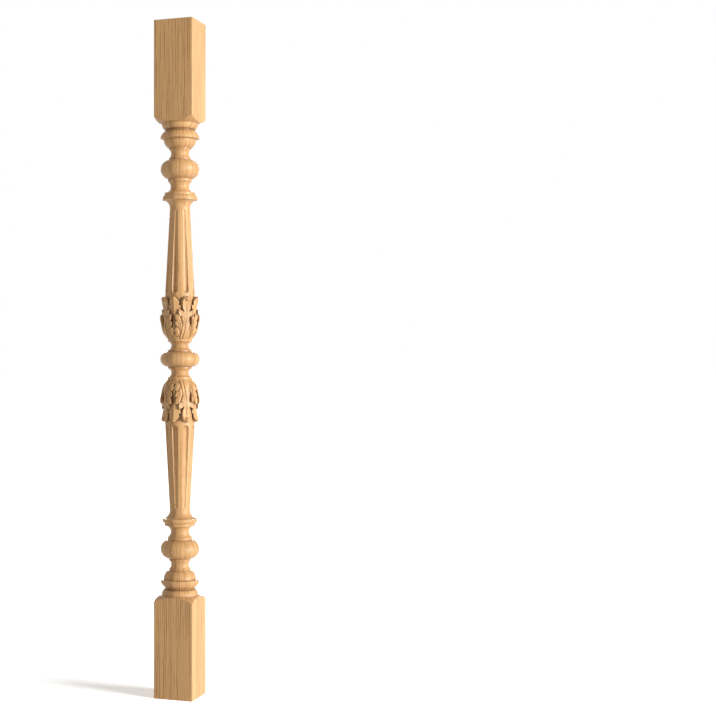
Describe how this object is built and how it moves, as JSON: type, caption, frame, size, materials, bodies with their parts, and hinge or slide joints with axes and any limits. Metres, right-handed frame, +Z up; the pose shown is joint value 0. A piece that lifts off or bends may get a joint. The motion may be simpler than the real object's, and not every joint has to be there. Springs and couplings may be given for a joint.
{
  "type": "stair baluster",
  "caption": "Carved wooden stair baluster: square end blocks, turned members, tapered fluted shafts and acanthus leaf cups mirrored about a round middle ring.",
  "frame": {"origin": "centre of the bottom face, on the turning axis", "axes": "+Z up along the turning axis; X and Y square to the faces of the end blocks"},
  "size_m": [0.06, 0.06, 1],
  "materials": {
    "wood": "satin"
  },
  "bodies": {
    "root": {"baluster": "wood"}
  },
  "joints": []
}
